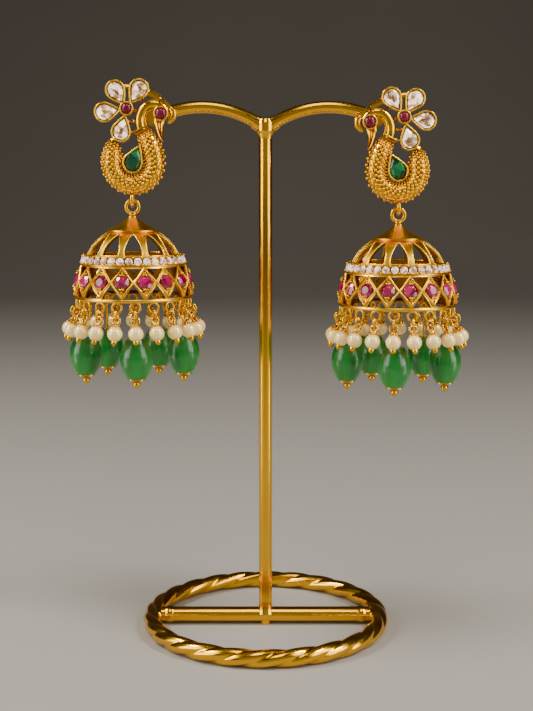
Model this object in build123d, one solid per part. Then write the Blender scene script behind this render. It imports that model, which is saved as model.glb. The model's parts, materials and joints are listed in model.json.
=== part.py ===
from build123d import *
import os
from math import asin, atan2, cos, degrees, hypot, pi, radians, sin

# A pair of peacock jhumka earrings on a plain two-armed stand. Millimetres, +Z up, front towards -Y.
# The origin is on the table, under the middle of the stand's base ring.

# --- stand ---
RING_R = 29.4            # centreline radius of the base ring
ROPE_R = 2.2             # outer radius of its rope
ROPE_LOBES = 3           # strands in the rope
ROPE_TURNS = 8           # full turns of the twist round the ring
ROPE_VALLEY = 1.75       # radius at the bottom of the grooves
ROPE_FLANK = 2.12        # radius beside a strand's crest
BAR_R = 1.9              # crossbar
BAR_Z = 2.5
BAR_END = 26.95          # half length, just short of the rope
BAR_BALL_R = 2.15        # solder ball at each end of the crossbar
FOOT_R = 1.4             # flat foot under the middle of the crossbar
FLARE = (2.35, 3.0, 6.2)     # radius, bottom and top of the flare where the pole meets the crossbar
POLE_R = 1.65
POLE_TOP_Z = 126.4       # height where the arms leave the pole
# cap over the joint of pole and arms, as (radius, height)
POLE_CAP = [(1.65, 123.9), (1.85, 124.9), (2.3, 125.8), (2.3, 127.9), (1.8, 128.75)]
SOCKET = (1.8, 3.1)          # radius and length of the sockets that hold the arms
ARM_R = 1.5
ARM_PEAK = (14.5, 131.6)     # x, z of the arm's highest point
ARM_END = (27.2, 128.85)     # x, z of the eye that holds the earring's post
EYE_R = 2.0              # the arm's flat eye
EYE_HALF = 1.5           # half its thickness

# --- earrings: both hang at HANG_X from the pole, with their heads towards it ---
HANG_X = 32.55
HANG_Y = -3.6            # plane of the drop, in front of the arms
BACK_Y = -1.75           # back of the stud
CRESCENT_Z = 110.25      # lowest point of the left crescent
RIM_BELOW = 24.95        # bell's rim below the crescent's lowest point
PIVOT_ABOVE = 22.5       # link's wire above the bell's rim
# side, sign of x, how much lower it hangs, turn of the bell, of the pearls, of the green beads (degrees)
SIDES = [
    ("left", -1, 0.0, 6.3, 7.6, 8.2),
    ("right", 1, 2.0, 4.0, 9.0, 8.0),
]

# --- bell ---
FLANGE = (12.1, 14.3, -0.3, 0.45)        # inner radius, outer radius, bottom, top
# the wall's outer and inner lines, as (radius, height above the rim)
LATTICE_OUT = [(14.1, 0.45), (14.5, 2.1), (13.85, 5.3), (12.7, 8.1)]
LATTICE_IN = [(13.2, 0.45), (13.4, 2.1), (12.75, 5.0), (11.25, 8.1)]
DOME_OUT = [(11.35, 10.4), (9.55, 13.2), (5.9, 15.95)]
DOME_IN = [(10.3, 10.4), (8.6, 12.5), (5.0, 15.3)]
BAND = (8.1, 8.38, 10.12, 10.4)          # crystal band: bottom, groove bottom, groove top, top
BAND_R = (12.85, 12.2)                   # its outer radius at the bottom and the top
GROOVE_DEPTH = 0.6
CAP_LIP = (6.27, 16.2, 16.5)             # radius, bottom and top of the lip round the cap
CAP_FOOT = 5.95                          # radius of the cap's foot inside the lip
CAP_STEP = 0.12                          # its height over the lip
CAP_FLANK = (3.4, 17.93)                 # a place on the cap's hollow flank
CAP_UNDER_Z = 17.3                       # underside of the cap at the axis
NECK_R = 1.1
NECK_Z = (19.5, 20.7)
NECK_GROOVE = (0.75, 0.25)               # radius at the bottom of its groove, half the groove's width
RHOMBI = 16
RHOMB_HALF = (2.35, 2.95)                # half width and half height inside the frame
RUBY_R = 1.7
RHOMB_SEAT = (13.98, 4.45, 14.5)         # radius, height and lean in degrees of a rhombus's middle
RHOMB_POCKET = 0.4
# open triangles between the rhombi: apex, half base, base, measured up and down from a rhombus's middle
GAP_ABOVE = (0.4, 2.4, 3.5)
GAP_BELOW = (0.4, 2.45, 3.8)
CUT_REACH = 3.0                          # how far the lattice cutters reach in and out
WINDOWS = 12
# half width, sill, foot of the arc, arc's middle as (x, height), point
WINDOW = (2.1, 10.45, 11.7, (1.3, 13.9), 15.7)
WINDOW_DRAFT = 0.1                       # the sill is this much narrower each side
WINDOW_CUT = (4.5, 13.5)                 # radii between which the windows are cut
BAND_STONES = 36
BAND_STONE_R = 0.8
RING_TOP = (22.1, 1.54, 0.5)             # bell's hanging ring: height, centre radius, wire radius
LINK_LOOP = (1.35, 0.55)                 # loop under the crescent: centre radius, wire radius

# --- dangles: places are (radius from the bell's axis, height above the rim) ---
WIRE = 0.275             # wire radius of loops, links and eyes
PLAY = 0.05              # play between two linked wires
PEARLS = 20
PEARL_LOOP = (14.0, -1.5, 1.17)          # radius, height, centre radius of the loop's circle
PEARL_AT = (15.9, -7.5)
PEARL_R = 1.8
PEARL_LINK_LEAN = (0.45, -0.893)         # direction from loop to link
LINK_R = 1.175
PEARL_EYE_R = 0.85
PEARL_PIN_R = 0.25
PEARL_BALL = (0.75, 2.05)                # radius, distance from the pearl's middle
GREEN_TURNS = (0, 76, 148, -148, -76)    # places round the bell
GREEN_R_AT = 12.35
GREEN_LOOP = (-0.95, 0.6, 0.225)         # height, centre radius, wire radius
GREEN_Z = -13.8
GREEN_SIZE = (3.85, 4.7)                 # half width and half height of a bead
GREEN_END_R = 2.0                        # radius of its flat ends
GREEN_PIN_R = 0.3
GREEN_CAP = (2.2, 0.35)                 # radius and thickness of the disc under a bead
GREEN_TOP_CAP = (0.9, 0.4)
GREEN_BALL = (0.92, 0.2)                 # radius, gap between the disc and the ball
BORE_PLAY = 0.06         # play between a pin and its bead

# --- stud, in its own plane: x towards the pole, y up from the crescent's lowest point, z forwards ---
# crescent's spine: x, y, half width
CRESCENT = [
    (2.75, 15.35, 1.55),
    (3.75, 13.75, 2.05),
    (4.65, 11.90, 2.34),
    (5.45, 9.80, 2.40),
    (5.64, 7.60, 2.39),
    (5.15, 5.60, 2.36),
    (4.05, 3.95, 2.33),
    (2.35, 2.80, 2.30),
    (0.35, 2.36, 2.30),
    (-1.60, 2.80, 2.32),
    (-3.35, 3.95, 2.34),
    (-4.45, 5.60, 2.38),
    (-4.90, 7.60, 2.40),
    (-4.75, 9.60, 2.36),
    (-4.80, 11.20, 1.95),
    (-5.05, 12.40, 1.35),
    (-5.30, 13.25, 0.70),
]
CRESCENT_DEPTH = 1.35    # depth per half width
CRESCENT_BACK = 0.75     # depth of the plain back part
PLATE = 0.9
FLOWER = (-1.0, 20.7)  # middle of the flower
# petal, direction in degrees, distance of its round end from the flower's middle
PETALS = [
    ("1", 121.5, 5.20),
    ("2", 57.0, 5.66),
    ("3", 188.5, 5.55),
    ("4", 255.0, 5.76),
]
PEAR_SHOULDER = 26.0     # how far past its widest place a pear outline stays round, degrees
PETAL_OUT = (2.42, 4.25) # bezel: radius of the round end, distance of the tip from it
PETAL_IN = (2.02, 3.5)
PETAL_TOP = 2.7
RUBY_SETTING = (1.67, 1.28, 3.3)
EMERALD = (0.3, 7.7, -24.5)          # round end and the lean of its tip
EMERALD_OUT = (2.45, 4.75)
EMERALD_IN = (2.1, 4.05)
EMERALD_TOP = 3.4
EYE = (7.35, 19.45)
EYE_SETTING = (1.78, 1.42, 4.1)
SETTING_DEPTH = 1.3      # depth of the round settings' wells
ROOM_TOP = 7.0           # clear of everything in front of a stone
STONE_GAP = 0.04
# spine of the neck: x, y, z, radius
NECK = [
    (2.62, 15.65, 2.0, 1.22),
    (2.20, 17.20, 2.0, 1.25),
    (2.25, 18.90, 2.0, 1.22),
    (3.00, 20.50, 2.0, 1.18),
    (4.40, 21.60, 2.0, 1.15),
    (6.10, 21.75, 2.0, 1.10),
    (7.60, 21.10, 2.0, 1.00),
    (8.60, 20.10, 2.0, 0.80),
]
# inner ridge of the neck
RIDGE = [
    (3.85, 16.25, 2.6, 0.32),
    (3.35, 17.60, 2.6, 0.36),
    (3.45, 19.10, 2.6, 0.38),
    (4.35, 20.30, 2.6, 0.36),
    (5.70, 20.75, 2.6, 0.30),
]
# grooved beak, from the head down: left side, right side, y, back, front
BEAK = [
    (5.50, 8.60, 18.70, 1.2, 2.90),
    (5.46, 8.10, 17.35, 1.2, 2.95),
    (5.70, 7.80, 16.30, 1.2, 2.95),
    (6.04, 7.71, 15.38, 1.3, 2.85),
    (6.35, 7.70, 14.60, 1.4, 2.70),
    (6.70, 7.71, 13.93, 1.5, 2.55),
    (7.10, 7.72, 13.30, 1.7, 2.35),
    (7.40, 7.66, 12.78, 1.85, 2.10),
]
# its section from the left side to the right, as (part of its width, part of its depth)
BEAK_SECTION = [
    (0.0, 0.0), (0.0, 0.55), (0.10, 0.90), (0.20, 1.0), (0.32, 0.92), (0.42, 0.62), (0.55, 0.80), (0.66, 0.62),
    (0.76, 0.92), (0.86, 1.0), (0.94, 0.90), (1.0, 0.55), (1.0, 0.0),
]
# rounded lobe at the back of the head
LOBE = [
    (9.20, 21.20, 1.8, 0.45),
    (10.10, 20.20, 1.8, 0.80),
    (10.25, 19.00, 1.8, 0.88),
    (9.60, 17.90, 1.8, 0.65),
    (8.90, 17.30, 1.7, 0.35),
]
CREST = (8.95, 21.35, 28.0)          # foot of the leaf-shaped crest and the turn of its tip
CREST_LEAF = (0.62, 2.5, 2.6)        # its radius, tip and front
# small bars of the openwork: x, y, length, width, turn, front
BARS = [
    (2.82, 15.32, 3.40, 0.46, 25.0, 3.6),      # two bars of the collar at the foot of the neck
    (2.56, 15.92, 3.50, 0.46, 25.0, 3.8),
    (0.45, 20.45, 2.60, 0.60, -12.0, 1.4),
    (0.50, 17.70, 2.80, 0.60, -8.0, 1.4),
    (0.90, 15.20, 2.60, 0.60, 5.0, 1.4),
    (-0.80, 26.00, 1.80, 0.90, -5.0, 1.6),
    (5.20, 24.22, 4.20, 1.55, -27.0, 1.9),     # flat strap behind the upper petal
    (7.40, 22.90, 1.60, 0.50, -35.0, 1.0),     # thin tie from the strap to the crest
    (-4.20, 13.55, 1.60, 0.80, 30.0, 2.0),
]
BAR_SLOPE = 0.75         # how steeply their upper halves slope back
# small balls of the openwork: x, y, z, radius
BALLS = [
    (2.45, 23.30, 1.0, 0.70),
]
POST_R = 0.45
POST_END_Y = 4.0
POST_PAD = (1.7, 1.7)    # radius and thickness of the pad that carries the post
NUT = (1.8, 1.65, 3.6)   # radius, front and back


def faceted(rings):
    """Solid with flat faces through rings of points, each ring a scaled copy of the one before."""
    count = len(rings[0])
    faces = [Face(Wire.make_polygon(rings[0])), Face(Wire.make_polygon(rings[-1]))]
    for low, high in zip(rings, rings[1:]):
        for i in range(count):
            j = (i + 1) % count
            faces.append(Face(Wire.make_polygon([low[i], low[j], high[j], high[i]])))
    return Solid(Shell(faces))


def cut_stone(outline, levels):
    """Stone with a table: the outline scaled at each (height, scale) level."""
    return faceted([[Vector(x * k, y * k, z) for x, y in outline] for z, k in levels])


def round_outline(radius, sides):
    return [(radius * cos(2 * pi * i / sides), radius * sin(2 * pi * i / sides)) for i in range(sides)]


def pear_side(radius, tip):
    """Where a pear's round end gives way to its side, the side's middle and radius, and its sweep."""
    shoulder = radians(PEAR_SHOULDER)
    start = Vector(radius * cos(shoulder), radius * sin(shoulder))
    chord = Vector(0, tip) - start
    # a side that leaves the round end smoothly turns through twice the angle between them
    sweep = 2 * (atan2(chord.Y, chord.X) - shoulder - pi / 2)
    side_r = chord.length / (2 * sin(sweep / 2))
    middle = Vector((radius - side_r) * cos(shoulder), (radius - side_r) * sin(shoulder))
    return start, middle, side_r, sweep


def pear_outline(radius, tip, sides):
    """Points round a pear shape with its round end at the origin and its tip at +y."""
    _, middle, side_r, sweep = pear_side(radius, tip)
    shoulder = radians(PEAR_SHOULDER)
    right = [
        (radius * sin(turn), -radius * cos(turn))
        for turn in [(pi / 2 + shoulder) * i / sides for i in range(1, sides + 1)]
    ]
    right += [
        (middle.X + side_r * cos(turn), middle.Y + side_r * sin(turn))
        for turn in [shoulder + sweep * i / sides for i in range(1, sides)]
    ]
    return [(0, -radius)] + right + [(0, tip)] + [(-x, y) for x, y in right[::-1]]


def pear_face(radius, tip):
    start, _, _, _ = pear_side(radius, tip)
    shoulder = radians(PEAR_SHOULDER)
    edges = [
        ThreePointArc((-start.X, start.Y), (0, -radius), (start.X, start.Y)),
        TangentArc((start.X, start.Y), (0, tip), tangent=(-sin(shoulder), cos(shoulder))),
        TangentArc((-start.X, start.Y), (0, tip), tangent=(sin(shoulder), cos(shoulder))),
    ]
    return Face(Wire(edges))


def slab(face, low, high):
    return extrude(face.moved(Location((0, 0, low))), high - low, dir=(0, 0, 1)).solid()


def disc(radius, low, high, at=(0, 0)):
    return Solid.make_cylinder(radius, high - low, Plane((at[0], at[1], low)))


def ball(radius, at, pole=(0, 0, 1)):
    return Solid.make_sphere(radius, Plane(at, z_dir=pole), angle1=-90, angle2=90)


def ring(radius, wire, at, axis):
    return Solid.make_torus(radius, wire, Plane(at, z_dir=axis))


def rod(start, end, radius):
    way = Vector(end) - Vector(start)
    return Solid.make_cylinder(radius, way.length, Plane(start, z_dir=way))


def rounded(spine, cuts):
    """The same spine with its corners rounded off by stations in between."""
    ends = [spine[0]] + spine + [spine[-1]]
    finer = []
    for a, b, c, d in zip(ends, ends[1:], ends[2:], ends[3:]):
        for i in range(cuts):
            t = i / cuts
            finer.append(tuple(
                q + t * ((r - p) + t * ((2 * p - 5 * q + 4 * r - u) + t * (3 * q - p - 3 * r + u))) / 2
                for p, q, r, u in zip(a, b, c, d)
            ))
    return finer + [spine[-1]]


def tapered_tube(spine):
    """Tube through (x, y, z, radius) stations lying in a plane of constant z."""
    spine = rounded(spine, 3)
    sections = []
    for i, (x, y, z, radius) in enumerate(spine):
        before, after = spine[max(i - 1, 0)], spine[min(i + 1, len(spine) - 1)]
        way = Vector(after[0] - before[0], after[1] - before[1], 0)
        plane = Plane((x, y, z), x_dir=(0, 0, 1), z_dir=way)
        sections.append(Face(Wire(Edge.make_circle(radius, plane))))
    return loft(sections, ruled=True).solid()


def turned(profile_edges):
    """Solid of revolution about Z from edges drawn in the XZ plane."""
    return revolve(Face(Wire(profile_edges)), Axis.Z, 360).solid()


def chain(points):
    """Straight edges through (radius, height) points."""
    flat = [(r, 0, z) for r, z in points]
    return [Edge.make_line(a, b) for a, b in zip(flat, flat[1:])]


def arc(start, middle, end):
    return Edge.make_three_point_arc(*[(r, 0, z) for r, z in (start, middle, end)])


# ---------------------------------------------------------------- stand

def base_ring():
    """Rope-twist ring whose facets follow the strands."""
    radii = [ROPE_VALLEY, ROPE_FLANK, ROPE_R, ROPE_FLANK]
    steps = len(radii) * ROPE_LOBES
    stations = steps * ROPE_TURNS
    grid = []
    for i in range(stations):
        around = 2 * pi * i / stations
        row = []
        for j in range(steps):
            section = 2 * pi * (j - i) / steps
            radius = radii[j % len(radii)]
            out = RING_R + radius * cos(section)
            row.append(Vector(out * cos(around), out * sin(around), ROPE_R + radius * sin(section)))
        grid.append(row)
    faces = []
    for i in range(stations):
        here = grid[i]
        # the last station meets the first one a whole number of turns on, so the columns line up
        there = grid[(i + 1) % stations]
        for j in range(steps):
            k = (j + 1) % steps
            faces.append(Face(Wire.make_polygon([here[j], there[j], here[k]])))
            faces.append(Face(Wire.make_polygon([there[j], there[k], here[k]])))
    return Solid(Shell(faces))


def stand_arm(side):
    """Round arm from the pole's top over its peak to a flat eye."""
    path = ThreePointArc((0, 0, POLE_TOP_Z), (side * ARM_PEAK[0], 0, ARM_PEAK[1]), (side * ARM_END[0], 0, ARM_END[1]))
    start = Plane((0, 0, POLE_TOP_Z), x_dir=(0, 1, 0), z_dir=path % 0)
    bar = sweep(Face(Wire(Edge.make_circle(ARM_R, start))), path).solid()
    eye = rod((side * ARM_END[0], -EYE_HALF, ARM_END[1]), (side * ARM_END[0], EYE_HALF, ARM_END[1]), EYE_R)
    socket_r, socket_l = SOCKET
    socket = rod((0, 0, POLE_TOP_Z), Vector(0, 0, POLE_TOP_Z) + (path % 0.06) * socket_l, socket_r)
    return bar.fuse(eye, socket)


def stand_frame():
    """Crossbar, foot, pole and arms, soldered into one piece."""
    bar = rod((-BAR_END, 0, BAR_Z), (BAR_END, 0, BAR_Z), BAR_R)
    balls = [ball(BAR_BALL_R, (x, 0, BAR_Z)) for x in (-BAR_END + BAR_BALL_R, BAR_END - BAR_BALL_R)]
    flare_r, flare_low, flare_top = FLARE
    pole = turned(
        chain([(0, POLE_TOP_Z), (0, 0), (FOOT_R, 0), (FOOT_R, 1.5), (flare_r, flare_low)])
        + [arc((flare_r, flare_low), (0.25 * flare_r + 0.75 * POLE_R, (flare_low + flare_top) / 2), (POLE_R, flare_top))]
        + chain([(POLE_R, flare_top), (POLE_R, POLE_TOP_Z), (0, POLE_TOP_Z)])
    )
    cap = turned(
        chain([(0, POLE_CAP[-1][1]), (0, POLE_CAP[0][1]), POLE_CAP[0]]) + [arc(*POLE_CAP[:3])]
        + chain(POLE_CAP[2:] + [(0, POLE_CAP[-1][1])])
    )
    frame = pole.fuse(bar, *balls, cap, stand_arm(-1), stand_arm(1))
    bores = [
        rod((side * ARM_END[0], -3, ARM_END[1]), (side * ARM_END[0], 3, ARM_END[1]), POST_R + BORE_PLAY)
        for side in (-1, 1)
    ]
    return frame.cut(*bores)


# ---------------------------------------------------------------- stud

def crescent():
    """Crescent with a flat back and a domed front, widest at the bottom and the sides."""
    sections = []
    for i, (x, y, half) in enumerate(CRESCENT):
        before, after = CRESCENT[max(i - 1, 0)], CRESCENT[min(i + 1, len(CRESCENT) - 1)]
        way = Vector(after[0] - before[0], after[1] - before[1], 0)
        plane = Plane((x, y, 0), x_dir=way.cross(Vector(0, 0, 1)), z_dir=way)
        top = CRESCENT_BACK + CRESCENT_DEPTH * half
        side = CRESCENT_BACK + 0.45 * half
        # the section's own y axis points forwards or backwards with the way the spine runs
        sign = 1 if plane.y_dir.Z > 0 else -1
        spots = [(-half, 0), (half, 0), (half, sign * side), (0, sign * top), (-half, sign * side)]
        low_left, low_right, right, crest, left = [plane.from_local_coords(Vector(u, v, 0)) for u, v in spots]
        wire = Wire([
            Edge.make_line(low_left, low_right),
            Edge.make_line(low_right, right),
            Edge.make_three_point_arc(right, crest, left),
            Edge.make_line(left, low_left),
        ])
        sections.append(Face(wire))
    return loft(sections, ruled=True).solid()


def sloped_bar(length, width, front):
    """Bar along x whose front slopes back on its upper half."""
    half = width / 2
    spots = [(-half, 0), (half, 0), (half, front - BAR_SLOPE * half), (0, front), (-half, front)]
    face = Face(Wire.make_polygon([(-length / 2, y, z) for y, z in spots]))
    return Solid.extrude(face, Vector(length, 0, 0))


def beak():
    """Beak that curves to a point, with two ridges along it and a lower one between them."""
    sections = []
    for left, right, y, back, front in rounded(BEAK, 3):
        spots = [(left + u * (right - left), y, back + v * (front - back)) for u, v in BEAK_SECTION]
        sections.append(Face(Wire.make_polygon(spots)))
    return loft(sections, ruled=True).solid()


def pear_setting(outer, inner, top, place):
    """Pear-shaped cup: floor and bezel."""
    cup = slab(pear_face(*outer), 0, top).cut(slab(pear_face(*inner), PLATE, top + 1))
    return cup.moved(place)


def round_setting(size, at):
    outer, inner, top = size
    return disc(outer, 0, top, at).cut(disc(inner, top - SETTING_DEPTH, top + 1, at))


def petal_place(direction, distance):
    """Where a petal's round end goes, with its tip turned to the flower's middle."""
    x = FLOWER[0] + distance * cos(radians(direction))
    y = FLOWER[1] + distance * sin(radians(direction))
    return Location((x, y, 0), (0, 0, direction + 90))


def emerald_place():
    return Location((EMERALD[0], EMERALD[1], 0), (0, 0, EMERALD[2]))


def stud_metal(post_y):
    """All the soldered metal of the stud, with its link loop and its post."""
    metal = [pear_setting(PETAL_OUT, PETAL_IN, PETAL_TOP, petal_place(way, far)) for _, way, far in PETALS]
    metal.append(pear_setting(EMERALD_OUT, EMERALD_IN, EMERALD_TOP, emerald_place()))
    metal += [round_setting(RUBY_SETTING, FLOWER), round_setting(EYE_SETTING, EYE)]
    metal += [tapered_tube(spine) for spine in (NECK, RIDGE, LOBE)]
    metal.append(beak())
    radius, tip, top = CREST_LEAF
    metal.append(slab(pear_face(radius, tip), 0, top).moved(Location((CREST[0], CREST[1], 0), (0, 0, CREST[2]))))
    for x, y, length, width, turn, front in BARS:
        metal.append(sloped_bar(length, width, front).moved(Location((x, y, 0), (0, 0, turn))))
    metal += [ball(radius, (x, y, z)) for x, y, z, radius in BALLS]
    post_at = (HANG_X - ARM_END[0], post_y)
    metal.append(disc(POST_PAD[0], 0, POST_PAD[1], post_at))
    metal.append(disc(POST_R, BACK_Y - POST_END_Y, PLATE, post_at))
    loop_y = PIVOT_ABOVE - RIM_BELOW + LINK_LOOP[0]
    metal.append(ring(*LINK_LOOP, (0, loop_y, BACK_Y - HANG_Y), (1, 0, 0)))
    # joined one after another, which gives cleaner edges here than joining all at once
    body = crescent()
    for piece in metal:
        body = body.fuse(piece)
    return body.cut(*stone_rooms())


def stone_rooms():
    """Room over each setting's floor, inside its bezel."""
    rooms = [slab(pear_face(*PETAL_IN), PLATE, ROOM_TOP).moved(petal_place(way, far)) for _, way, far in PETALS]
    rooms.append(slab(pear_face(*EMERALD_IN), PLATE, ROOM_TOP).moved(emerald_place()))
    for (_, inner, top), at in ((RUBY_SETTING, FLOWER), (EYE_SETTING, EYE)):
        rooms.append(disc(inner, top - SETTING_DEPTH, ROOM_TOP, at))
    return rooms


def pear_stone(inner, top, sides):
    """Pear-cut stone with a table, just inside its bezel."""
    outline = pear_outline(inner[0] - STONE_GAP, inner[1] - 2 * STONE_GAP, sides)
    levels = [(PLATE + STONE_GAP, 0.72), (top - 0.55, 1.0), (top - 0.3, 1.0), (top + 0.35, 0.62)]
    return cut_stone(outline, levels)


def cabochon(inner, top):
    """Domed round stone."""
    radius = inner - STONE_GAP
    low = top - SETTING_DEPTH + STONE_GAP
    shoulder, peak = top - 0.25, top + 0.65
    dome_r = (radius ** 2 + (peak - shoulder) ** 2) / (2 * (peak - shoulder))
    half = asin(radius / dome_r) / 2
    middle = (dome_r * sin(half), peak - dome_r * (1 - cos(half)))
    return turned(
        chain([(0, peak), (0, low), (radius, low), (radius, shoulder)])
        + [arc((radius, shoulder), middle, (0, peak))]
    )


# ---------------------------------------------------------------- bell

def wall_frame(turn, radius, height, lean):
    """Plane on the bell's wall: x along the wall, y up it, z outwards. Turn 0 faces the front."""
    angle = radians(turn - 90)
    out = Vector(cos(angle) * cos(radians(lean)), sin(angle) * cos(radians(lean)), sin(radians(lean)))
    across = Vector(-sin(angle), cos(angle), 0)
    return Plane((radius * cos(angle), radius * sin(angle), height), x_dir=across, z_dir=out)


def prism(plane, points, low, high):
    """Straight prism over an outline drawn in a plane, from low to high along its normal."""
    face = Face(Wire.make_polygon([plane.from_local_coords(Vector(x, y, low)) for x, y in points]))
    return Solid.extrude(face, plane.z_dir * (high - low))


def bell_wall():
    """Turned wall of the bell from the flange to the cap and its neck."""
    inner_r, outer_r, low, top = FLANGE
    band_low, groove_low, groove_top, band_top = BAND
    low_r, top_r = BAND_R
    lip_r, lip_low, lip_top = CAP_LIP
    neck_low, neck_top = NECK_Z
    groove_r, groove_half = NECK_GROOVE
    groove_z = (neck_low + neck_top) / 2
    edges = chain([(inner_r, low), (outer_r, low), (outer_r, top)] + LATTICE_OUT[:2])
    edges.append(arc(*LATTICE_OUT[1:]))
    edges += chain([
        LATTICE_OUT[-1], (low_r, band_low), (low_r, groove_low), (low_r - GROOVE_DEPTH, groove_low),
        (top_r - GROOVE_DEPTH, groove_top), (top_r, groove_top), (top_r, band_top), DOME_OUT[0],
    ])
    edges.append(arc(*DOME_OUT))
    edges += chain([
        DOME_OUT[-1], (lip_r, lip_low), (lip_r, lip_top), (CAP_FOOT, lip_top + CAP_STEP),
    ])
    edges.append(arc((CAP_FOOT, lip_top + CAP_STEP), CAP_FLANK, (NECK_R, neck_low)))
    edges += chain([
        (NECK_R, neck_low), (NECK_R, groove_z - groove_half),
        (groove_r, groove_z), (NECK_R, groove_z + groove_half), (NECK_R, neck_top), (0, neck_top),
        (0, CAP_UNDER_Z), DOME_IN[-1],
    ])
    edges.append(arc(*DOME_IN[::-1]))
    edges += chain([DOME_IN[0], LATTICE_IN[-1]])
    edges.append(arc(*LATTICE_IN[:0:-1]))
    edges += chain([LATTICE_IN[1], LATTICE_IN[0], (inner_r, top), (inner_r, low)])
    return turned(edges)


def bell_cutters():
    """Everything cut from the bell's wall: lattice gaps, stone seats and arched windows."""
    cutters = []
    half_w, half_h = RHOMB_HALF
    for i in range(RHOMBI):
        seat = wall_frame((i + 0.5) * 360 / RHOMBI, *RHOMB_SEAT)
        rhomb = [(half_w, 0), (0, half_h), (-half_w, 0), (0, -half_h)]
        cutters.append(prism(seat, rhomb, -RHOMB_POCKET, CUT_REACH))
        between = wall_frame(i * 360 / RHOMBI, *RHOMB_SEAT)
        for sign, (apex, half_base, base) in ((1, GAP_ABOVE), (-1, GAP_BELOW)):
            gap = [(0, sign * apex), (sign * half_base, sign * base), (-sign * half_base, sign * base)]
            cutters.append(prism(between, gap, -CUT_REACH, CUT_REACH))
    half, sill, foot, (bow_x, bow_z), point = WINDOW
    near, far = WINDOW_CUT
    low_half = half - WINDOW_DRAFT
    for i in range(WINDOWS):
        outline = [
            Edge.make_line((low_half, sill, 0), (-low_half, sill, 0)),
            Edge.make_line((-low_half, sill, 0), (-half, foot, 0)),
            Edge.make_three_point_arc((-half, foot, 0), (-bow_x, bow_z, 0), (0, point, 0)),
            Edge.make_three_point_arc((0, point, 0), (bow_x, bow_z, 0), (half, foot, 0)),
            Edge.make_line((half, foot, 0), (low_half, sill, 0)),
        ]
        face = Face(Wire(outline)).moved(Location((0, 0, near)))
        facing = Location(wall_frame(i * 360 / WINDOWS, 0, 0, 0))
        cutters.append(Solid.extrude(face, Vector(0, 0, far - near)).moved(facing))
    return cutters


def front(radius, height):
    """Point at the front of the bell."""
    return Vector(0, -radius, height)


def around(shape, turns):
    """Copies of a shape drawn at the bell's front, turned about the bell's axis."""
    return [shape.moved(Location((0, 0, 0), (0, 0, turn))) for turn in turns]


def evenly(count, phase=0.0):
    return [phase + i * 360 / count for i in range(count)]


def bell_metal(turn, pearl_turns, green_turns):
    """Bell with its hanging ring above and the soldered loops under its rim."""
    pierced = bell_wall().cut(*bell_cutters()).moved(Location((0, 0, 0), (0, 0, turn)))
    height, radius, wire = RING_TOP
    loop_r, loop_z, loop_size = PEARL_LOOP
    green_z, green_size, green_wire = GREEN_LOOP
    pearl_loop = ring(loop_size, WIRE, front(loop_r, loop_z), (0, 1, 0))
    green_loop = ring(green_size, green_wire, front(GREEN_R_AT, green_z), (0, 1, 0))
    loops = around(pearl_loop, pearl_turns) + around(green_loop, green_turns)
    return pierced.fuse(ring(radius, wire, (0, 0, height), (0, 1, 0)), *loops)


def bell_rubies(turn):
    levels = [(-RHOMB_POCKET + STONE_GAP, 0.85), (0.0, 1.0), (0.15, 1.0), (0.55, 0.55)]
    stone = cut_stone(round_outline(RUBY_R, 10), levels).moved(Location(wall_frame(0, *RHOMB_SEAT)))
    return around(stone, evenly(RHOMBI, turn + 180 / RHOMBI))


def band_crystals(turn):
    _, groove_low, groove_top, _ = BAND
    middle = (groove_low + groove_top) / 2
    radius = (BAND_R[0] + BAND_R[1]) / 2 - GROOVE_DEPTH
    lean = degrees(atan2(BAND_R[0] - BAND_R[1], groove_top - groove_low))
    levels = [(0.12, 0.7), (0.4, 1.0), (0.75, 0.55)]
    stone = cut_stone(round_outline(BAND_STONE_R, 8), levels).moved(Location(wall_frame(0, radius, middle, lean)))
    return around(stone, evenly(BAND_STONES, turn + 180 / BAND_STONES))


# ---------------------------------------------------------------- dangles

def pearl_chain():
    """Places of one pearl dangle: link, eye, pearl, as (radius, height), and the way it hangs."""
    loop_r, loop_z, loop_size = PEARL_LOOP
    hook = (loop_r, loop_z - loop_size)
    reach = LINK_R - 2 * WIRE - PLAY
    link = (hook[0] + reach * PEARL_LINK_LEAN[0], hook[1] + reach * PEARL_LINK_LEAN[1])
    far = hypot(PEARL_AT[0] - link[0], PEARL_AT[1] - link[1])
    way = ((PEARL_AT[0] - link[0]) / far, (PEARL_AT[1] - link[1]) / far)
    eye = (link[0] + (reach + PEARL_EYE_R) * way[0], link[1] + (reach + PEARL_EYE_R) * way[1])
    return link, eye, way


def pearl_parts():
    """Link, pin and pearl of the dangle at the bell's front."""
    link, eye, way = pearl_chain()
    down = front(*way)
    middle = front(*PEARL_AT)
    eye_at = front(*eye)
    ball_r, ball_far = PEARL_BALL
    ball_at = middle + down * ball_far
    link_ring = ring(LINK_R, WIRE, front(*link), (1, 0, 0))
    shaft = rod(eye_at + down * PEARL_EYE_R, ball_at, PEARL_PIN_R)
    eye_ring = ring(PEARL_EYE_R, WIRE, eye_at, down.cross(Vector(1, 0, 0)))
    pin = shaft.fuse(eye_ring, ball(ball_r, ball_at, down))
    bore = rod(middle - down * 2 * PEARL_R, middle + down * 2 * PEARL_R, PEARL_PIN_R + BORE_PLAY)
    pearl = ball(PEARL_R, middle, down).cut(bore, ball(ball_r + BORE_PLAY, ball_at, down))
    return link_ring, pin, pearl


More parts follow.
